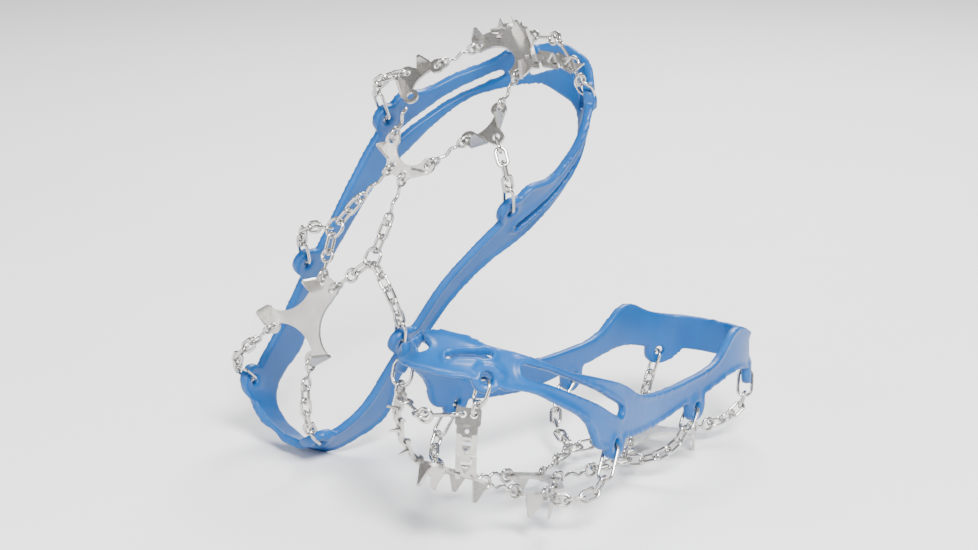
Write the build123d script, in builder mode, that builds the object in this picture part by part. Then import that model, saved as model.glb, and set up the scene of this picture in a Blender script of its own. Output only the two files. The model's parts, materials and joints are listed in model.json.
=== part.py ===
from build123d import *
import math
import os

# A pair of ice cleats, each held in the shape it takes on a boot: a rubber harness, eight eyelets,
# chains and wires, and spiked sheet steel plates under the sole.
# Local axes of one cleat: +X toward the toe, +Y the wearer's left, +Z up, origin on the ground.

# ---------------------------------------------------------------- driving dimensions (mm)
HARNESS_THICK = 4.0
BOSS_RADIUS = 8.0
BOSS_THICK = 5.0
EYELET_RADIUS = 2.9
WIRE_RADIUS = 1.0
LINK_RADIUS = 2.9          # centreline radius of a chain link's ends
BAIL_RADIUS = 4.1          # centreline radius of a bail's ends
TOE_BAIL_RADIUS = 5.3
JUNCTION_RADIUS = 4.9      # centreline radius of the link where two chains meet
MIDDLE_REACH = 1.8         # overlap of the two eyes joined in front of the toe
EYE_RADIUS = 3.6           # centreline radius of the eye at the end of a wire
OVERLAP = 1.25             # how far each of two joined links reaches past their meeting point
PLATE_THICK = 1.7
PLATE_HOLE = 2.3
EAR_RADIUS = 4.6
SPIKE_HEIGHT = 11.6
SPIKE_WIDTH = 10.0
SOLE_Z = 12.0
TOE_PLATE_WIDTH = 11.0
TOE_PLATE_THICK = 1.5
HOOK_RADIUS = 2.3          # centreline radius of the hook that joins two toe plates
HOOK_THICK = 1.2

# Plan half-width of the worn harness along the foot: (x, half width)
PLAN = [(-151, 9), (-148.5, 18), (-144, 26), (-138, 31), (-128, 35.5), (-112, 39.5), (-90, 41.5),
        (-60, 43), (-20, 45.5), (20, 52), (50, 55.5), (80, 54), (105, 46), (125, 34), (136, 25),
        (142, 19)]
# Height of the crown that the harness follows: (x, height)
CROWN = [(-151, 160), (0, 150), (40, 135), (60, 126), (80, 121), (100, 116), (120, 110),
         (136, 98), (142, 92)]
SPRING_LINE = 30.0
CROWN_POWER = 2 / 2.6

# Side outline of the harness (x, z)
UPPER_EDGE = [(103, 113), (96, 110.5), (85, 105.5), (71.8, 97.7), (54.6, 91), (40.2, 85.3),
              (23.5, 78), (8, 68.5), (-15.6, 61.9), (-32, 60.2), (-55, 59.7), (-71.5, 60),
              (-84.4, 62.2), (-96, 69), (-105, 74.5), (-115, 75), (-127, 69), (-140, 64.5), (-156, 63)]
LOWER_EDGE = [(-156, 42), (-141, 42), (-127, 45), (-114, 48.5), (-98, 49), (-79, 46.7), (-62, 45.6), (-45, 45),
              (-22.9, 43.5), (3.6, 45), (16, 46.5), (28, 49)]
FRONT_EDGE = [(47, 49), (56.5, 54), (60.8, 64.3), (67, 71.8), (79.3, 80.1), (91.4, 88.5),
              (101.4, 92.4), (108, 93)]
LONG_SLOT = [(93.5, 100.5), (82, 95.6), (74.5, 91.4), (61, 84), (51, 78.6), (42, 72.5), (31, 65.6)]
LONG_SLOT_WIDTH = 6.4
SHORT_SLOT = [(118.5, 8.5), (113, 16), (106, 22.5)]
SHORT_SLOT_WIDTH = 5.0

# Eyelets: (position, outward normal), left side; the right side mirrors them
TOE_EYE = ((113.0, 27.0, 100.0), (0.644, 0.689, 0.335))
FORE_EYE = ((37.5, 54.0, 49.0), (-0.12, 0.99, 0.05))
MID_EYE = ((-60.0, 43.2, 41.0), (-0.05, 1.0, 0.0))
HEEL_EYE = ((-137.0, 31.8, 41.0), (-0.52, 0.85, 0.0))

# Plate holes in the sole's plane (x, y), left side
HEEL_FRONT_HOLE = (-55.5, 4.4)
HEEL_REAR_HOLE = (-94.5, 17.6)
REAR_BACK_HOLE = (23.5, 4.6)
REAR_FRONT_HOLE = (35.3, 15.1)
SIDE_BACK_HOLE = (60.8, 25.0)
SIDE_OUTER_HOLE = (69.9, 38.2)
SIDE_FRONT_HOLE = (83.2, 26.3)
FRONT_HOLE = (105.6, 16.2)

# Sheet planes: (x, z, slope in degrees)
HEEL_PLANE = (-80.0, SOLE_Z, 0.0)
REAR_PLANE = (23.5, 12.4, 5.0)
SIDE_PLANE = (60.8, 19.7, 20.5)
FRONT_PLANE = (105.6, 39.4, 31.0)

# Toe chain, left side: hinge lines of the three small plates, bottom to top
TOE_HINGES = [(116.4, 16.3, 48.0), (121.4, 20.6, 58.6), (123.1, 22.6, 70.6), (121.8, 22.6, 82.0)]
TOE_AXIS = (-0.54, 0.838, -0.07)
CROSS_LINK_MIDDLE = (132.0, 0.0, 79.5)
TOE_RING_LENGTH = 6.4

# Where wires and chains meet, left side; each CONTROL point bows the chain between its two ends
REAR_WIRE_END = (-5.0, 12.9, SOLE_Z)
JUNCTION_FRONT = (-21.5, 16.2, SOLE_Z)
JUNCTION_BACK = (-30.5, 17.8, SOLE_Z)
HEEL_FRONT_WIRE_END = (-39.5, 12.0, SOLE_Z)
MID_CONTROL = (-38.0, 44.0, 14.0)
MID_BAIL_END = (-49.8, 44.8, 30.5)
MID_LINKS = 5
FORE_CONTROL = (57.0, 58.0, 21.0)
FORE_BAIL_END = (49.0, 57.0, 33.0)
FORE_LINKS = 4
HEEL_REAR_WIRE_END = (-110.5, 24.5, SOLE_Z)
HEEL_CONTROL = (-129.0, 35.6, 16.0)
HEEL_BAIL_END = (-132.6, 34.0, 27.0)
HEEL_LINKS = 4

# The second cleat leans against the first
LEANING = Plane(origin=(43.2, -114.3, 159.1), x_dir=(-0.382, 0.366, 0.847), z_dir=(-0.918, -0.059, -0.389))


# ---------------------------------------------------------------- small geometry helpers
def side_of(point, sign):
    """Mirror a left-hand point to the side given by sign (+1 left, -1 right)."""
    return Vector(point[0], point[1] * sign, point[2])


def across(direction, toward):
    """The part of `toward` that is square to `direction`, as a unit vector."""
    direction = direction.normalized()
    return (toward - direction * toward.dot(direction)).normalized()


def turned(vector, axis, degrees):
    return vector.rotate(Axis((0, 0, 0), axis), degrees)


def sheet_plane(spec):
    """Plane of a sheet: x_dir runs forward up the slope, y stays across the foot."""
    x, z, slope = spec
    tilt = math.radians(slope)
    forward = (math.cos(tilt), 0, math.sin(tilt))
    return Plane(origin=(x, 0, z), x_dir=forward, z_dir=(-math.sin(tilt), 0, math.cos(tilt)))


def on_sheet(spec, point):
    """Foot (x, y) to sheet (u, v)."""
    return ((point[0] - spec[0]) / math.cos(math.radians(spec[2])), point[1])


def hole_at(spec, point, sign):
    """World position of a hole's centre on a sheet."""
    u, v = on_sheet(spec, point)
    return sheet_plane(spec).from_local_coords(Vector(u, v * sign, 0))


def interpolate(table, x):
    for (x0, y0), (x1, y1) in zip(table, table[1:]):
        if x <= x1:
            return y0 + (y1 - y0) * (x - x0) / (x1 - x0)
    return table[-1][1]


# ---------------------------------------------------------------- wire pieces, drawn into the open part
def add_link(start, end, side, reach_start, reach_end, radius):
    """A closed oval link from start to end, lying in the plane of its length and `side`."""
    along = (end - start).normalized()
    side = across(along, side)
    first = start - along * reach_start
    length = (end - start).length + reach_start + reach_end
    straight = max(length - 2 * radius, 0.2)
    plane = Plane(origin=first + along * radius, x_dir=along, z_dir=along.cross(side))
    with BuildLine(plane) as path:
        Line((0, radius), (straight, radius))
        ThreePointArc((straight, radius), (straight + radius, 0), (straight, -radius))
        Line((straight, -radius), (0, -radius))
        ThreePointArc((0, -radius), (-radius, 0), (0, radius))
    with BuildSketch(Plane(origin=first + along * radius + side * radius, z_dir=along)) as round_wire:
        Circle(WIRE_RADIUS)
    sweep(round_wire.sketch, path=path.wire())


def add_eye_wire(start, end, side_start, side_end, reach_start, reach_end, bend):
    """A wire with an eye at each end; `bend` is how far its shank sways into an S."""
    along = (end - start).normalized()
    first = start + along * (EYE_RADIUS - reach_start)
    last = end - along * (EYE_RADIUS - reach_end)
    for centre, side in ((first, side_start), (last, side_end)):
        normal = along.cross(across(along, side))
        with Locations(Plane(origin=centre, z_dir=normal).location):
            Torus(EYE_RADIUS, WIRE_RADIUS)
    shank_start = first + along * EYE_RADIUS
    shank_end = last - along * EYE_RADIUS
    sway = across(along, side_start) * bend
    third = (shank_end - shank_start) / 3
    with BuildLine() as path:
        if bend:
            Spline(shank_start, shank_start + third + sway, shank_end - third - sway, shank_end,
                   tangents=(along, along))
        else:
            Line(shank_start, shank_end)
    with BuildSketch(Plane(origin=shank_start, z_dir=along)) as round_wire:
        Circle(WIRE_RADIUS)
    sweep(round_wire.sketch, path=path.wire())


def strand(nodes, side_first, side_last):
    """Sides for each link of a strand, each turned a quarter from the last; any twist left over is shared out."""
    sides = []
    side = side_first
    for here, there in zip(nodes, nodes[1:]):
        along = there - here
        side = across(along, side)
        sides.append(side)
        side = turned(side, along, 90)
    along = nodes[-1] - nodes[-2]
    goal = across(along, side_last)
    off = math.degrees(math.atan2(side.cross(goal).dot(along.normalized()), side.dot(goal)))
    off = (off + 90) % 180 - 90
    share = off / (len(sides) + 1)
    return [turned(s, b - a, share * (i + 1)) for i, (s, a, b) in enumerate(zip(sides, nodes, nodes[1:]))]


def bend_reach(before, meeting, after):
    """Overlap at a meeting point; links that bend there reach a little further to stay clear of each other."""
    bend = (meeting - before).normalized().dot((after - meeting).normalized())
    return OVERLAP + 1 - bend


def add_strand(nodes, side_first, side_last, reach_first, beyond=None):
    """Links along the nodes; `beyond` is where the next piece leads after the last node."""
    sides = strand(nodes, side_first, side_last)
    ahead = nodes + [beyond or nodes[-1] * 2 - nodes[-2]]
    reaches = [reach_first] + [bend_reach(*ahead[i - 1:i + 2]) for i in range(1, len(nodes))]
    for i, side in enumerate(sides):
        add_link(nodes[i], nodes[i + 1], side, reaches[i], reaches[i + 1], LINK_RADIUS)


def bowed(start, control, end, count):
    """Meeting points of `count` links, spread evenly along a curve bowed toward `control`."""
    with BuildLine() as curve:
        Bezier(start, control, end)
    return [curve.line @ (step / count) for step in range(count + 1)]


# ---------------------------------------------------------------- harness
def section(x, half_width, height):
    """Closed cross-section of the foot shape at x: a crown over straight sides."""
    crown = []
    for step in range(17):
        turn = math.pi * step / 16
        across_part = math.copysign(abs(math.cos(turn)) ** CROWN_POWER, math.cos(turn))
        up_part = math.sin(turn) ** CROWN_POWER
        crown.append((half_width * across_part, SPRING_LINE + (height - SPRING_LINE) * up_part))
    with BuildSketch(Plane(origin=(x, 0, 0), x_dir=(0, 1, 0), z_dir=(1, 0, 0))) as face:
        with BuildLine():
            Spline(crown, tangents=((0, 1), (0, -1)))
            Polyline((-half_width, SPRING_LINE), (-half_width, 10), (half_width, 10), (half_width, SPRING_LINE))
        make_face()
    return face.sketch


def offset_plan(distance):
    """Plan stations moved outward along the outline's own normal."""
    stations = []
    for i, (x, w) in enumerate(PLAN):
        before = PLAN[max(i - 1, 0)]
        after = PLAN[min(i + 1, len(PLAN) - 1)]
        run = after[0] - before[0]
        rise = after[1] - before[1]
        length = math.hypot(run, rise)
        stations.append((x - rise / length * distance, w + run / length * distance))
    return stations


def make_harness():
    half = HARNESS_THICK / 2
    with BuildPart() as piece:
        loft([section(x, w, interpolate(CROWN, x) + half) for x, w in offset_plan(half)])
        loft([section(x, w, interpolate(CROWN, x) - half) for x, w in offset_plan(-half)], mode=Mode.SUBTRACT)
        with BuildSketch(Plane.XZ):
            with BuildLine():
                Spline(UPPER_EDGE)
                Line(UPPER_EDGE[-1], LOWER_EDGE[0])
                Spline(LOWER_EDGE)
                Polyline(LOWER_EDGE[-1], (30, 44), (44, 43.5), FRONT_EDGE[0])
                Spline(FRONT_EDGE)
                Polyline(FRONT_EDGE[-1], (111, 98.6), (119, 100.2), (131, 102.5), (131, 130), (103, 130),
                         UPPER_EDGE[0])
            make_face()
            for eye in (FORE_EYE, MID_EYE, HEEL_EYE):
                with Locations((eye[0][0], eye[0][2])):
                    Circle(BOSS_RADIUS + 0.6)
            with Locations((MID_EYE[0][0], 47)):
                Rectangle(19, 8)
        extrude(amount=90, both=True, mode=Mode.INTERSECT)
        for start, end in zip(LONG_SLOT, LONG_SLOT[1:]):
            run = Vector(end[0] - start[0], end[1] - start[1])
            for sign in (1, -1):
                with BuildSketch(Plane.XZ.offset(-24 * sign)):
                    middle = ((start[0] + end[0]) / 2, (start[1] + end[1]) / 2)
                    with Locations(Location(middle, math.degrees(math.atan2(run.Y, run.X)))):
                        SlotCenterToCenter(run.length, LONG_SLOT_WIDTH)
                extrude(amount=-60 * sign, mode=Mode.SUBTRACT)
        for start, end in zip(SHORT_SLOT, SHORT_SLOT[1:]):
            for sign in (1, -1):
                run = Vector(end[0] - start[0], (end[1] - start[1]) * sign)
                with BuildSketch(Plane.XY.offset(90)):
                    middle = ((start[0] + end[0]) / 2, (start[1] + end[1]) / 2 * sign)
                    with Locations(Location(middle, math.degrees(math.atan2(run.Y, run.X)))):
                        SlotCenterToCenter(run.length, SHORT_SLOT_WIDTH)
                extrude(amount=40, mode=Mode.SUBTRACT)
        for position, normal in (TOE_EYE, FORE_EYE, MID_EYE, HEEL_EYE):
            for sign in (1, -1):
                seat = Plane(origin=side_of(position, sign), z_dir=side_of(normal, sign))
                with Locations(seat.location):
                    Cylinder(BOSS_RADIUS, BOSS_THICK)
                    Cylinder(EYELET_RADIUS, 4 * BOSS_THICK, mode=Mode.SUBTRACT)
                with Locations(seat.offset(BOSS_THICK / 2).location):
                    Cone(EYELET_RADIUS, EYELET_RADIUS + 1.4, 1.4,
                         align=(Align.CENTER, Align.CENTER, Align.MAX), mode=Mode.SUBTRACT)
    return piece.part


# ---------------------------------------------------------------- spiked plates
def add_spike(plane, base, outward, width=SPIKE_WIDTH, height=SPIKE_HEIGHT):
    """A triangular spike folded down from the sheet's edge at `base` (u, v), facing `outward`."""
    origin = plane.from_local_coords(Vector(base[0], base[1], 0))
    facing = (plane.x_dir * outward[0] + plane.y_dir * outward[1]).normalized()
    upright = Plane(origin=origin - facing * PLATE_THICK, x_dir=facing.cross(plane.z_dir), z_dir=facing)
    top = PLATE_THICK / 2
    down = -1 if upright.y_dir.dot(plane.z_dir) > 0 else 1
    with BuildSketch(upright) as blade:
        with BuildLine():
            Polyline((-width / 2, -top * down), (width / 2, -top * down), (width / 2, 2.6 * down),
                     (0.9, height * down), (-0.9, height * down), (-width / 2, 2.6 * down), close=True)
        make_face()
    extrude(blade.sketch, amount=PLATE_THICK)


def add_sheet(spec, outline, holes):
    """A flat sheet from (x, y) foot points; a point marked 'arc' bows the edge through it."""
    plane = sheet_plane(spec)
    with BuildSketch(plane) as face:
        with BuildLine():
            here = on_sheet(spec, outline[0])
            step = 1
            while step < len(outline):
                if outline[step][0] == "arc":
                    through = on_sheet(spec, outline[step][1])
                    there = on_sheet(spec, outline[step + 1])
                    ThreePointArc(here, through, there)
                    step += 2
                else:
                    there = on_sheet(spec, outline[step])
                    Line(here, there)
                    step += 1
                here = there
        make_face()
        with Locations([on_sheet(spec, hole) for hole in holes]):
            Circle(EAR_RADIUS)
    extrude(face.sketch, amount=PLATE_THICK / 2, both=True)
    return plane


def cut_holes(spec, holes):
    with BuildSketch(sheet_plane(spec)) as rounds:
        with Locations([on_sheet(spec, hole) for hole in holes]):
            Circle(PLATE_HOLE)
    extrude(rounds.sketch, amount=2 * PLATE_THICK, both=True, mode=Mode.SUBTRACT)


def both_sides(point):
    return [point, (point[0], -point[1])]


def make_heel_plate():
    outline = [(-51, -8.5), (-51, 8.5), (-62, 8.5), ("arc", (-74.5, 9.5)), (-86.8, 28.3), (-97.2, 21.7),
               ("arc", (-86.5, 0)), (-97.2, -21.7), (-86.8, -28.3), ("arc", (-74.5, -9.5)), (-62, -8.5), (-51, -8.5)]
    holes = both_sides(HEEL_FRONT_HOLE) + both_sides(HEEL_REAR_HOLE)
    with BuildPart() as piece:
        plane = add_sheet(HEEL_PLANE, outline, holes)
        add_spike(plane, on_sheet(HEEL_PLANE, (-92, 25)), (-0.53, 0.85), 12)
        add_spike(plane, on_sheet(HEEL_PLANE, (-92, -25)), (-0.53, -0.85), 12)
        add_spike(plane, on_sheet(HEEL_PLANE, (-60, -8.5)), (0, -1), 9)
        cut_holes(HEEL_PLANE, holes)
    return piece.part


def make_rear_plate():
    outline = [(19.4, -5), (19.4, 5), (24.6, 10.9), (31.4, 18.1), (37, 18.5), (39, 12), ("arc", (28.4, 0)),
               (39, -12), (37, -18.5), (31.4, -18.1), (24.6, -10.9), (19.4, -5)]
    holes = both_sides(REAR_BACK_HOLE) + both_sides(REAR_FRONT_HOLE)
    with BuildPart() as piece:
        plane = add_sheet(REAR_PLANE, outline, holes)
        for sign in (1, -1):
            add_spike(plane, on_sheet(REAR_PLANE, (28, 14.5 * sign)), (-0.73, 0.68 * sign), 9.4)
        cut_holes(REAR_PLANE, holes)
    return piece.part


def make_side_plate(sign):
    outline = [(58, 21.5), (57.2, 30.2), (65, 36.2), (67, 41), (73, 41), (75.2, 35.6), (83, 31.2), (87.2, 27.5),
               (85, 22.5), ("arc", (72, 29)), (58, 21.5)]
    flipped = [("arc", (p[1][0], p[1][1] * sign)) if p[0] == "arc" else (p[0], p[1] * sign) for p in outline]
    holes = [(x, y * sign) for x, y in (SIDE_BACK_HOLE, SIDE_OUTER_HOLE, SIDE_FRONT_HOLE)]
    with BuildPart() as piece:
        plane = add_sheet(SIDE_PLANE, flipped, holes)
        add_spike(plane, on_sheet(SIDE_PLANE, (79.1, 33.4 * sign)), (0.5, 0.87 * sign), 8.6)
        add_spike(plane, on_sheet(SIDE_PLANE, (61.1, 33.2 * sign)), (-0.61, 0.79 * sign), 9.4)
        cut_holes(SIDE_PLANE, holes)
    return piece.part


def make_front_plate():
    outline = [(103.5, -20.5), ("arc", (114, -19.2)), (122, -9.5), ("arc", (125, 0)), (122, 9.5),
               ("arc", (114, 19.2)), (103.5, 20.5), (103, 12), ("arc", (113, 0)), (103, -12), (103.5, -20.5)]
    holes = both_sides(FRONT_HOLE)
    with BuildPart() as piece:
        plane = add_sheet(FRONT_PLANE, outline, holes)
        for sign in (1, -1):
            add_spike(plane, on_sheet(FRONT_PLANE, (124, 4.6 * sign)), (1, 0.3 * sign), 8)
            add_spike(plane, on_sheet(FRONT_PLANE, (107.5, 19.8 * sign)), (0.45, 0.9 * sign), 8)
        cut_holes(FRONT_PLANE, holes)
        for sign in (1, -1):
            hinge, up, out, axis = toe_frame(0, sign)
            with Locations(Plane(origin=hinge, z_dir=axis).location):
                Cylinder(HOOK_RADIUS + HOOK_THICK / 2 + 0.6, 5.8, mode=Mode.SUBTRACT)
            add_bar(hinge, out, axis * sign)
    return piece.part


# ---------------------------------------------------------------- toe chain of three small plates
def toe_frame(index, sign):
    """Hinge point, up direction, outward direction and hinge axis of toe plate `index`."""
    low = side_of(TOE_HINGES[index], sign)
    high = side_of(TOE_HINGES[index + 1], sign)
    axis = side_of(TOE_AXIS, sign).normalized()
    rise = across(axis, high - low)
    out = axis.cross(rise) * sign
    lean = math.degrees(math.asin(HOOK_RADIUS / (high - low).length))
    up = turned(rise, axis, -lean * sign)
    return low, up, out, axis


def add_bar(point, out, axis):
    """The loop of sheet that the lowest toe plate hooks onto, standing out from the front plate."""
    with BuildSketch(Plane(origin=point, x_dir=axis, z_dir=out)) as loop:
        Rectangle(TOE_PLATE_WIDTH, 2.2)
        for end in (1, -1):
            with Locations((end * (TOE_PLATE_WIDTH / 2 - 1.3), -2.6)):
                Rectangle(2.6, 7.2)
    extrude(loop.sketch, amount=TOE_PLATE_THICK / 2, both=True)


def make_toe_plate(index, sign):
    low, up, out, axis = toe_frame(index, sign)
    high = side_of(TOE_HINGES[index + 1], sign)
    face = across(up, out)
    plane = Plane(origin=high, x_dir=axis * sign, z_dir=face)
    if plane.y_dir.dot(up) < 0:
        plane = Plane(origin=high, x_dir=axis * -sign, z_dir=face)
    run = (high - low).dot(up)
    half = TOE_PLATE_WIDTH / 2
    with BuildPart() as piece:
        with BuildSketch(plane):
            if index < 2:
                Rectangle(TOE_PLATE_WIDTH, 2.2)
                for end in (1, -1):
                    with Locations((end * (half - 1.3), -2.6)):
                        Rectangle(2.6, 7.2)
            else:
                with Locations((0, -1.1)):
                    RectangleRounded(TOE_PLATE_WIDTH + 2.4, 9.4, 1.5)
            with Locations((0, -7.6)):
                RectangleRounded(TOE_PLATE_WIDTH, 5, 1)
            with Locations((0, -(run + 8.6) / 2)):
                Rectangle(5, run - 8.6)
        extrude(amount=TOE_PLATE_THICK / 2, both=True)
        with BuildSketch(plane):
            if index == 2:
                with Locations((2.9, 0), (-2.9, 0)):
                    Circle(1.9)
            with Locations((0, -8.6)):
                Circle(1.2)
        extrude(amount=TOE_PLATE_THICK, both=True, mode=Mode.SUBTRACT)
        hook = Plane(origin=low - axis * 2.5, x_dir=face, z_dir=axis)
        turn = 1 if hook.y_dir.dot(up) > 0 else -1
        with BuildSketch(hook):
            with BuildLine():
                outer = HOOK_RADIUS + HOOK_THICK / 2
                inner = HOOK_RADIUS - HOOK_THICK / 2
                Line((inner, 1.2 * turn), (outer, 1.2 * turn))
                Line((outer, 1.2 * turn), (outer, 0))
                ThreePointArc((outer, 0), (0, -outer * turn), (-outer, 0))
                Line((-outer, 0), (-inner, 0))
                ThreePointArc((-inner, 0), (0, -inner * turn), (inner, 0))
                Line((inner, 0), (inner, 1.2 * turn))
            make_face()
        extrude(amount=5)
        with BuildSketch(Plane(origin=high + face * (TOE_PLATE_THICK / 2) - up * 6.2, x_dir=axis * -sign, z_dir=up)):
            with BuildLine():
                Polyline((-2.4, -0.4), (2.4, -0.4), (0, 5.6), close=True)
            make_face()
        extrude(amount=0.65, both=True)
    return piece.part


def toe_ring_points(sign):
    """Hole in the top toe plate and the point where ring and bail meet."""
    low, up, out, axis = toe_frame(2, sign)
    hole = side_of(TOE_HINGES[3], sign) + axis * 2.9
    goal = side_of(TOE_EYE[0], sign)
    along = (goal - hole).normalized()
    return hole, hole + along * TOE_RING_LENGTH, goal, across(up, out)


def toe_ring_sides(sign):
    """Sides of the small ring and the bail, leaning away from plate and lug until they cross squarely."""
    hole, meeting, goal, face = toe_ring_points(sign)
    along = goal - hole
    ring = across(along, face)
    bail = across(along, side_of(TOE_EYE[1], sign))
    angle = math.degrees(math.atan2(ring.cross(bail).dot(along.normalized()), ring.dot(bail)))
    short = math.copysign(max(70 - abs(angle), 0), angle)
    return turned(ring, along, -short * 0.5), turned(bail, along, short * 0.5)


def make_toe_ring(sign):
    hole, meeting, goal, face = toe_ring_points(sign)
    with BuildPart() as piece:
        ring_side, bail_side = toe_ring_sides(sign)
        add_link(hole, meeting, ring_side, 0, OVERLAP, LINK_RADIUS)
    return piece.part


def make_toe_bail(sign):
    hole, meeting, goal, face = toe_ring_points(sign)
    with BuildPart() as piece:
        ring_side, bail_side = toe_ring_sides(sign)
        add_link(meeting, goal, bail_side, OVERLAP, 0, TOE_BAIL_RADIUS)
    return piece.part


def make_cross_links():
    with BuildPart() as piece:
        for sign, middle_side in ((1, Vector(0, 0, 1)), (-1, Vector(1, 0, 0))):
            low, up, out, axis = toe_frame(2, sign)
            hole = side_of(TOE_HINGES[3], sign) - axis * 2.9
            add_eye_wire(hole, Vector(*CROSS_LINK_MIDDLE), across(up, out), middle_side, 0, MIDDLE_REACH, 0)
    return piece.part


# ---------------------------------------------------------------- wires and chains under the sole
def normal_of(spec):
    return sheet_plane(spec).z_dir


def make_ring_wires():
    with BuildPart() as piece:
        for sign in (1, -1):
            for hole_a, spec_a, hole_b, spec_b in ((SIDE_FRONT_HOLE, SIDE_PLANE, FRONT_HOLE, FRONT_PLANE),
                                                   (REAR_FRONT_HOLE, REAR_PLANE, SIDE_BACK_HOLE, SIDE_PLANE)):
                add_eye_wire(hole_at(spec_a, hole_a, sign), hole_at(spec_b, hole_b, sign),
                             normal_of(spec_a), normal_of(spec_b), 0, 0, 1.4)
    return piece.part


def make_rear_wires():
    """Two long wires behind the ring, a pair of links each, and the junction links."""
    with BuildPart() as piece:
        for sign in (1, -1):
            start = hole_at(REAR_PLANE, REAR_BACK_HOLE, sign)
            end = side_of(REAR_WIRE_END, sign)
            front = side_of(JUNCTION_FRONT, sign)
            back = side_of(JUNCTION_BACK, sign)
            add_eye_wire(start, end, normal_of(REAR_PLANE), Vector(0, 0, 1), 0, OVERLAP, 1.2)
            add_strand([end, (end + front) / 2, front], Vector(0, 1, 0), Vector(0, 1, 0), OVERLAP)
            add_link(front, back, Vector(0, 1, 0), OVERLAP, OVERLAP, JUNCTION_RADIUS)
    return piece.part


def make_heel_wires():
    """Front pair: a link and a wire from the junction link. Rear pair: a short wire each."""
    with BuildPart() as piece:
        for sign in (1, -1):
            end = side_of(HEEL_FRONT_WIRE_END, sign)
            back = junction_exit(HEEL_FRONT_WIRE_END, sign)
            add_link(back, end, Vector(0, 0, 1), OVERLAP, OVERLAP, LINK_RADIUS)
            front_hole = hole_at(HEEL_PLANE, HEEL_FRONT_HOLE, sign)
            rear_hole = hole_at(HEEL_PLANE, HEEL_REAR_HOLE, sign)
            rear_end = side_of(HEEL_REAR_WIRE_END, sign)
            add_eye_wire(front_hole, end, Vector(0, 0, 1), Vector(0.4, sign, 0), 0, OVERLAP, 0)
            add_eye_wire(rear_hole, rear_end, Vector(0, 0, 1), Vector(0, 0, 1), 0, OVERLAP, 0)
    return piece.part


def junction_exit(goal, sign):
    """Where a branch toward `goal` hooks the junction link's rounded end."""
    front = side_of(JUNCTION_FRONT, sign)
    back = side_of(JUNCTION_BACK, sign)
    centre = back - (back - front).normalized() * (JUNCTION_RADIUS - OVERLAP)
    level_goal = Vector(goal[0], goal[1] * sign, SOLE_Z)
    return centre + (level_goal - centre).normalized() * (JUNCTION_RADIUS - OVERLAP)


def fore_nodes(sign):
    start = hole_at(SIDE_PLANE, SIDE_OUTER_HOLE, sign)
    return bowed(start, side_of(FORE_CONTROL, sign), side_of(FORE_BAIL_END, sign), FORE_LINKS)


def mid_nodes(sign):
    start = junction_exit(MID_CONTROL, sign)
    return bowed(start, side_of(MID_CONTROL, sign), side_of(MID_BAIL_END, sign), MID_LINKS)


def heel_nodes(sign):
    start = side_of(HEEL_REAR_WIRE_END, sign)
    return bowed(start, side_of(HEEL_CONTROL, sign), side_of(HEEL_BAIL_END, sign), HEEL_LINKS)


def make_chain(nodes, side_first, eye, sign, reach_first):
    """The links of one chain; the last one meets the bail square on."""
    with BuildPart() as piece:
        add_strand(nodes, side_first, side_of(eye[1], sign), reach_first, side_of(eye[0], sign))
    return piece.part


def add_bail(nodes, eye, sign):
    """The open link from the end of a chain through an eyelet."""
    goal = side_of(eye[0], sign)
    reach = bend_reach(nodes[-2], nodes[-1], goal)
    add_link(nodes[-1], goal, side_of(eye[1], sign), reach, 0, BAIL_RADIUS)


def make_bail(nodes, eye, sign):
    with BuildPart() as piece:
        add_bail(nodes, eye, sign)
    return piece.part


def make_heel_chains():
    with BuildPart() as piece:
        for sign in (1, -1):
            normal, goal = side_of(HEEL_EYE[1], sign), side_of(HEEL_EYE[0], sign)
            add_strand(heel_nodes(sign), Vector(0, 1, 0), normal, OVERLAP, goal)
    return piece.part


def make_heel_bails():
    with BuildPart() as piece:
        for sign in (1, -1):
            add_bail(heel_nodes(sign), HEEL_EYE, sign)
    return piece.part


# ---------------------------------------------------------------- one cleat, then the pair
pieces = {
    "harness": make_harness(),
    "heel_plate": make_heel_plate(),
    "rear_plate": make_rear_plate(),
    "front_plate": make_front_plate(),
    "ring_wires": make_ring_wires(),
    "rear_wires": make_rear_wires(),
    "heel_wires": make_heel_wires(),
    "heel_chains": make_heel_chains(),
    "heel_bails": make_heel_bails(),
    "toe_cross_links": make_cross_links(),
}
for side_name, side_sign in (("left", 1), ("right", -1)):
    pieces[f"{side_name}_plate"] = make_side_plate(side_sign)
    for index, level in enumerate(("low", "mid", "top")):
        pieces[f"toe_plate_{level}_{side_name}"] = make_toe_plate(index, side_sign)
    pieces[f"toe_ring_{side_name}"] = make_toe_ring(side_sign)
    pieces[f"toe_bail_{side_name}"] = make_toe_bail(side_sign)
    fore, mid = fore_nodes(side_sign), mid_nodes(side_sign)
    side_normal = normal_of(SIDE_PLANE)
    pieces[f"fore_chain_{side_name}"] = make_chain(fore, side_normal, FORE_EYE, side_sign, 0)
    pieces[f"fore_bail_{side_name}"] = make_bail(fore, FORE_EYE, side_sign)
    pieces[f"mid_chain_{side_name}"] = make_chain(mid, Vector(0, 0, 1), MID_EYE, side_sign, OVERLAP + 0.1)
    pieces[f"mid_bail_{side_name}"] = make_bail(mid, MID_EYE, side_sign)

places = {"upright": Plane.XY.location, "leaning": LEANING.location}
pair = {f"{cleat}_{name}": shape.moved(place) for cleat, place in places.items() for name, shape in pieces.items()}
box = Compound(list(pair.values())).bounding_box()
to_row = Location((-box.center().X, -box.center().Y, -box.min.Z))
print("row shift", to_row.position, "size", box.size)

os.makedirs("parts", exist_ok=True)
for name, shape in pair.items():
    placed = shape.moved(to_row)
    placed.label = name
    export_step(placed, f"parts/{name}.step")
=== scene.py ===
import bpy
import json
import math
import numpy as np
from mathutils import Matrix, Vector
from mathutils.kdtree import KDTree


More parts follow.
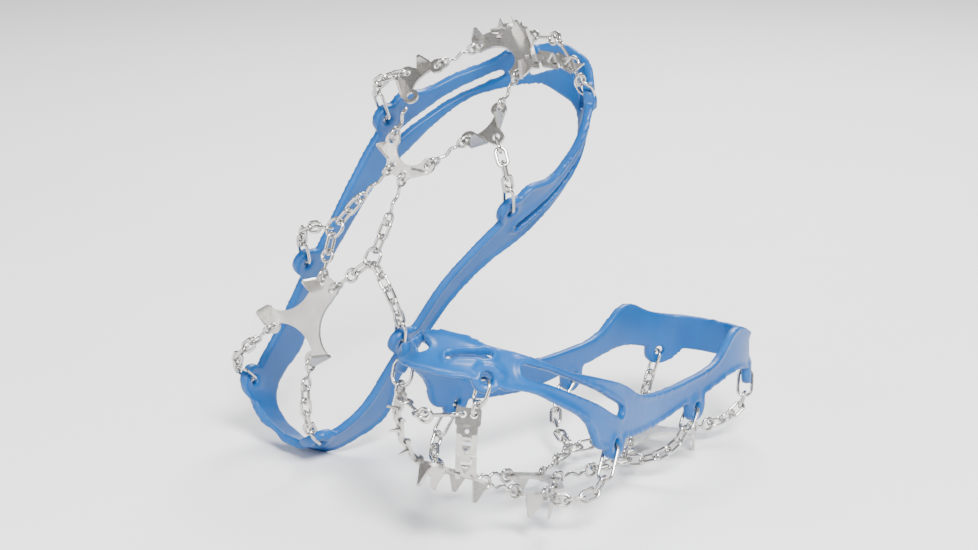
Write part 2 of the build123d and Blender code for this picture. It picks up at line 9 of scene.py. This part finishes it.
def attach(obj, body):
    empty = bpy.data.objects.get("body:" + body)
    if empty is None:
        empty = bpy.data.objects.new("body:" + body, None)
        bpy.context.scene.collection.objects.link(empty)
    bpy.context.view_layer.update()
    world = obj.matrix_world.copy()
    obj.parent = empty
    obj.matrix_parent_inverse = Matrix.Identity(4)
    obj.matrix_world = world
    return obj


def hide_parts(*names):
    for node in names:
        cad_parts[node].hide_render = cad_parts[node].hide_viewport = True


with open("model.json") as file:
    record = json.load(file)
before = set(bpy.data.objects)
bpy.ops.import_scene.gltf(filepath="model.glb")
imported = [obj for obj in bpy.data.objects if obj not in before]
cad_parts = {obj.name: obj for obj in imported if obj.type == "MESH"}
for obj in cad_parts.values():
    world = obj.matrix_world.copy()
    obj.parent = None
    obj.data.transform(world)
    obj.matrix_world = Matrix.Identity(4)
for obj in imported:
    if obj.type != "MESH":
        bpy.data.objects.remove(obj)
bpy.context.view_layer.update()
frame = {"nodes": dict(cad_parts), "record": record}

# ------------------------------------------------------------------ sizes and places
MM = 0.001
ROW_SHIFT = (8.515, 69.855, -0.333)          # from the upright cleat's own origin to the row origin, mm
LEANING_ORIGIN = (43.2, -114.3, 159.1)
LEANING_X = (-0.382, 0.366, 0.847)
LEANING_Z = (-0.918, -0.059, -0.389)

# The foot shape that the harness wraps: (x, half width), (x, crown height) and where the walls start to curve
PLAN = [(-151, 9), (-148.5, 18), (-144, 26), (-138, 31), (-128, 35.5), (-112, 39.5), (-90, 41.5), (-60, 43),
        (-20, 45.5), (20, 52), (50, 55.5), (80, 54), (105, 46), (125, 34), (136, 25), (142, 19)]
CROWN = [(-151, 160), (0, 150), (40, 135), (60, 126), (80, 121), (100, 116), (120, 110), (136, 98),
         (142, 92)]
SPRING_LINE = 30.0
CROWN_POWER = 2.6
TOE_TAPER = 1.2            # how fast the shape narrows past the last plan station
HEEL_TAPER = 3
LEAST_WIDTH = 4

VOXEL = 0.95 * MM          # grain of the moulded rubber surface
BEAD_HEIGHT = 2.0 * MM     # raised rim along every edge of the harness
BEAD_REACH = 3.3 * MM
BEAD_PASSES = 2
BEAD_FLAT = 0.35           # share of the reach that stays level before the rim falls away
FACE_LIMIT = 0.55          # cosine that tells the band's faces from its edge walls
SMOOTH_PASSES = 14
SMOOTH_KEEP = 0.6
PLATE_BEVEL = 0.28 * MM

CAMERA_MM = (917.15, 654.06, 440.28)     # from the upright cleat's own origin
CAMERA_YAW = 217.86
CAMERA_PITCH = -15.64
CAMERA_LENS = 77.54
SENSOR_WIDTH = 36
FLOOR_SIZE = 12

# Lights: name, place, disc size (m), power (W), all aimed at LIGHT_TARGET
LIGHT_TARGET = (0.0, 0.0, 0.1)
LIGHTS = [
    ("key", (0.9, 1.3, 1.7), 0.8, 120),
    ("fill", (1.8, -0.6, 1.0), 1.2, 22),
    ("back", (-1.2, -0.5, 1.5), 1.0, 50),
]


# ------------------------------------------------------------------ the harness's own directions
def cleat_axes(name):
    """Origin and axes of one cleat in the row frame."""
    if name.startswith("upright"):
        return np.array(ROW_SHIFT), np.eye(3)
    x = np.array(LEANING_X) / np.linalg.norm(LEANING_X)
    z = np.array(LEANING_Z) / np.linalg.norm(LEANING_Z)
    y = np.cross(z, x)
    return np.array(LEANING_ORIGIN) + np.array(ROW_SHIFT), np.array([x, y / np.linalg.norm(y), z])


def outward(points, name):
    """Unit direction away from the foot at each point (row frame, metres)."""
    origin, axes = cleat_axes(name)
    local = (points / MM - origin) @ axes.T
    x, y, z = local.T
    plan_x, plan_w = np.array(PLAN).T
    crown_x, crown_z = np.array(CROWN).T

    def level(x, y, z):
        w = np.interp(x, plan_x, plan_w)
        past_toe = np.clip(x - plan_x[-1], 0, None) * TOE_TAPER
        past_heel = np.clip(plan_x[0] - x, 0, None) * HEEL_TAPER
        t = np.interp(x, crown_x, crown_z)
        sideways = np.abs(y) / np.maximum(w - (past_toe + past_heel), LEAST_WIDTH)
        upward = np.clip(z - SPRING_LINE, 0, None) / (t - SPRING_LINE)
        return sideways ** CROWN_POWER + upward ** CROWN_POWER

    step = 0.5
    grad = np.stack([
        level(x + step, y, z) - level(x - step, y, z),
        level(x, y + step, z) - level(x, y - step, z),
        level(x, y, z + step) - level(x, y, z - step),
    ], axis=1)
    grad /= np.maximum(np.linalg.norm(grad, axis=1, keepdims=True), 1e-9)
    return grad @ axes


# ------------------------------------------------------------------ moulded rubber from the plain CAD band
def neighbour_mean(points, edges, passes, keep):
    """Smooth toward the mean of the neighbours; `keep` pushes back, so that thin edges stay thick."""
    count = np.bincount(edges.ravel(), minlength=len(points)).reshape(-1, 1)
    for turn in range(passes * 2):
        total = np.zeros_like(points)
        np.add.at(total, edges[:, 0], points[edges[:, 1]])
        np.add.at(total, edges[:, 1], points[edges[:, 0]])
        weight = 0.5 if turn % 2 == 0 else -0.5 * keep
        points = points + (total / np.maximum(count, 1) - points) * weight
    return points


def moulded_harness(node_name):
    node = frame["nodes"][node_name]
    shell = bpy.data.objects.new(f"{node_name}_fine", node.data.copy())
    bpy.context.scene.collection.objects.link(shell)
    grain = shell.modifiers.new("grain", "REMESH")
    grain.mode = "VOXEL"
    grain.voxel_size = VOXEL
    bpy.context.view_layer.update()
    fine = bpy.data.meshes.new_from_object(shell.evaluated_get(bpy.context.evaluated_depsgraph_get()))
    bpy.data.objects.remove(shell)

    count = len(fine.vertices)
    points = np.empty(count * 3)
    fine.vertices.foreach_get("co", points)
    points = points.reshape(-1, 3)
    edges = np.empty(len(fine.edges) * 2, dtype=int)
    fine.edges.foreach_get("vertices", edges)
    edges = edges.reshape(-1, 2)
    normals = np.empty(count * 3)
    fine.vertices.foreach_get("normal", normals)
    normals = normals.reshape(-1, 3)

    away = outward(points, node_name)
    facing = np.einsum("ij,ij->i", normals, away)
    wall = np.nonzero(np.abs(facing) < FACE_LIMIT)[0]
    tree = KDTree(len(wall))
    for i, v in enumerate(wall):
        tree.insert(points[v], i)
    tree.balance()
    outer = facing > FACE_LIMIT
    reach = np.zeros(count)
    for v in np.nonzero(outer)[0]:
        reach[v] = tree.find(points[v])[2]
    fall = np.clip((reach / BEAD_REACH - BEAD_FLAT) / (1 - BEAD_FLAT), 0, 1)
    bead = np.where(outer, 0.5 + 0.5 * np.cos(math.pi * fall), 0)
    bead = neighbour_mean(bead[:, None], edges, BEAD_PASSES, 0)
    points = points + away * bead * BEAD_HEIGHT
    points = neighbour_mean(points, edges, SMOOTH_PASSES, SMOOTH_KEEP)
    fine.vertices.foreach_set("co", points.ravel())
    fine.update()
    fine.shade_smooth()
    skin = bpy.data.objects.new(f"{node_name}_rubber", fine)
    bpy.context.scene.collection.objects.link(skin)
    skin.data.materials.clear()
    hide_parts(node_name)
    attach(skin, "root")
    return skin


# ------------------------------------------------------------------ materials
def new_material(name):
    material = bpy.data.materials.new(name)
    material.use_nodes = True
    tree = material.node_tree
    return material, tree, tree.nodes["Principled BSDF"]


def noise(tree, scale, detail, coords, rough=0.5):
    node = tree.nodes.new("ShaderNodeTexNoise")
    node.inputs["Scale"].default_value = scale
    node.inputs["Detail"].default_value = detail
    node.inputs["Roughness"].default_value = rough
    tree.links.new(coords, node.inputs["Vector"])
    return node.outputs["Fac"]


def ramp(tree, value, stops):
    node = tree.nodes.new("ShaderNodeValToRGB")
    tree.links.new(value, node.inputs["Fac"])
    while len(node.color_ramp.elements) < len(stops):
        node.color_ramp.elements.new(0.5)
    for element, (place, colour) in zip(node.color_ramp.elements, stops):
        element.position = place
        element.color = (*colour, 1)
    return node.outputs["Color"]


def grey(value):
    return (value, value, value)


def between(tree, value, low, high):
    """Noise spread between two colours."""
    return ramp(tree, value, [(0.3, low), (0.7, high)])


def bump(tree, height, strength, distance):
    node = tree.nodes.new("ShaderNodeBump")
    node.inputs["Strength"].default_value = strength
    node.inputs["Distance"].default_value = distance
    tree.links.new(height, node.inputs["Height"])
    return node.outputs["Normal"]


def rubber():
    material, tree, shader = new_material("blue_rubber")
    coords = tree.nodes.new("ShaderNodeTexCoord").outputs["Object"]
    broad = noise(tree, 28, 3, coords)
    fine = noise(tree, 900, 4, coords, 0.6)
    tree.links.new(between(tree, broad, (0.0, 0.066, 0.25), (0.0, 0.092, 0.32)), shader.inputs["Base Color"])
    tree.links.new(ramp(tree, fine, [(0.25, grey(0.33)), (0.75, grey(0.46))]), shader.inputs["Roughness"])
    shader.inputs["Specular IOR Level"].default_value = 0.4
    tree.links.new(bump(tree, fine, 0.12, 0.0003), shader.inputs["Normal"])
    return material


def sheet_metal():
    material, tree, shader = new_material("stainless_sheet")
    source = tree.nodes.new("ShaderNodeTexCoord").outputs["Object"]
    stretch = tree.nodes.new("ShaderNodeMapping")
    stretch.inputs["Scale"].default_value = (1, 14, 3)
    tree.links.new(source, stretch.inputs["Vector"])
    streak = noise(tree, 260, 6, stretch.outputs["Vector"], 0.65)
    cloud = noise(tree, 60, 3, source)
    steel = between(tree, cloud, (0.46, 0.445, 0.42), (0.60, 0.585, 0.555))
    tree.links.new(steel, shader.inputs["Base Color"])
    tree.links.new(ramp(tree, streak, [(0.25, grey(0.22)), (0.75, grey(0.38))]), shader.inputs["Roughness"])
    shader.inputs["Metallic"].default_value = 1.0
    tree.links.new(bump(tree, streak, 0.10, 0.0002), shader.inputs["Normal"])
    return material


def wire_metal():
    material, tree, shader = new_material("nickel_wire")
    coords = tree.nodes.new("ShaderNodeTexCoord").outputs["Object"]
    cloud = noise(tree, 120, 3, coords)
    fine = noise(tree, 1400, 3, coords)
    tree.links.new(between(tree, cloud, (0.48, 0.465, 0.44), (0.64, 0.62, 0.59)), shader.inputs["Base Color"])
    tree.links.new(between(tree, fine, grey(0.14), grey(0.26)), shader.inputs["Roughness"])
    shader.inputs["Metallic"].default_value = 1.0
    tree.links.new(bump(tree, fine, 0.05, 0.0001), shader.inputs["Normal"])
    return material


def paper_floor():
    material, tree, shader = new_material("pale_floor")
    coords = tree.nodes.new("ShaderNodeTexCoord").outputs["Object"]
    grain = noise(tree, 3, 2, coords)
    tree.links.new(between(tree, grain, grey(0.90), grey(0.925)), shader.inputs["Base Color"])
    shader.inputs["Roughness"].default_value = 0.85
    return material


materials = {"blue_rubber": rubber(), "stainless_sheet": sheet_metal(), "nickel_wire": wire_metal()}
slots = {part["node"]: part["material_slot"] for part in frame["record"]["subparts"]}
for name, node in frame["nodes"].items():
    node.data.materials.clear()
    node.data.materials.append(materials[slots[name]])
    if slots[name] == "stainless_sheet":
        soften = node.modifiers.new("soft edges", "BEVEL")
        soften.width = PLATE_BEVEL
        soften.segments = 2
        soften.limit_method = "ANGLE"
        soften.angle_limit = math.radians(40)
        soften.harden_normals = True

for cleat in ("upright", "leaning"):
    skin = moulded_harness(f"{cleat}_harness")
    skin.data.materials.append(materials["blue_rubber"])

# ------------------------------------------------------------------ stage
bpy.ops.mesh.primitive_plane_add(size=FLOOR_SIZE, location=(-2, -2, 0))
floor = bpy.context.object
floor.name = "floor"
floor.data.materials.append(paper_floor())


def area_light(name, place, size, power):
    data = bpy.data.lights.new(name, "AREA")
    data.shape = "DISK"
    data.size = size
    data.energy = power
    lamp = bpy.data.objects.new(name, data)
    lamp.location = place
    lamp.rotation_mode = "QUATERNION"
    lamp.rotation_quaternion = (Vector(LIGHT_TARGET) - Vector(place)).to_track_quat("-Z", "Y")
    bpy.context.scene.collection.objects.link(lamp)


for light in LIGHTS:
    area_light(*light)

world = bpy.data.worlds.new("studio")
bpy.context.scene.world = world
world.use_nodes = True
tree = world.node_tree
background = tree.nodes["Background"]
coords = tree.nodes.new("ShaderNodeTexCoord").outputs["Generated"]
split = tree.nodes.new("ShaderNodeSeparateXYZ")
tree.links.new(coords, split.inputs["Vector"])
# Pale at the horizon; a dark band and dark patches above it give the metal something to mirror
BAND_START, BAND_MIDDLE, BAND_END = 0.14, 0.28, 0.5
height = ramp(tree, split.outputs["Z"],
              [(BAND_START, grey(0.9)), (BAND_MIDDLE, grey(0.22)), (BAND_END, grey(0.9)), (1.0, grey(1))])
patches = ramp(tree, noise(tree, 2.2, 1, coords), [(0.42, grey(0.25)), (0.58, grey(1))])
above = ramp(tree, split.outputs["Z"], [(BAND_START, grey(0)), (BAND_MIDDLE, grey(1))])
mix = tree.nodes.new("ShaderNodeMix")
mix.data_type = "RGBA"
mix.blend_type = "MULTIPLY"
tree.links.new(above, mix.inputs["Factor"])
tree.links.new(height, mix.inputs["A"])
tree.links.new(patches, mix.inputs["B"])
tree.links.new(mix.outputs["Result"], background.inputs["Color"])
background.inputs["Strength"].default_value = 0.7

lens = bpy.data.cameras.new("camera")
lens.sensor_width = SENSOR_WIDTH
lens.lens = CAMERA_LENS
lens.clip_start = 0.05
lens.clip_end = 50
camera = bpy.data.objects.new("camera", lens)
camera.location = Vector([(c + s) * MM for c, s in zip(CAMERA_MM, ROW_SHIFT)])
yaw, pitch = math.radians(CAMERA_YAW), math.radians(CAMERA_PITCH)
look = Vector((math.cos(yaw) * math.cos(pitch), math.sin(yaw) * math.cos(pitch), math.sin(pitch)))
camera.rotation_mode = "QUATERNION"
camera.rotation_quaternion = look.to_track_quat("-Z", "Y")
bpy.context.scene.collection.objects.link(camera)
bpy.context.scene.camera = camera
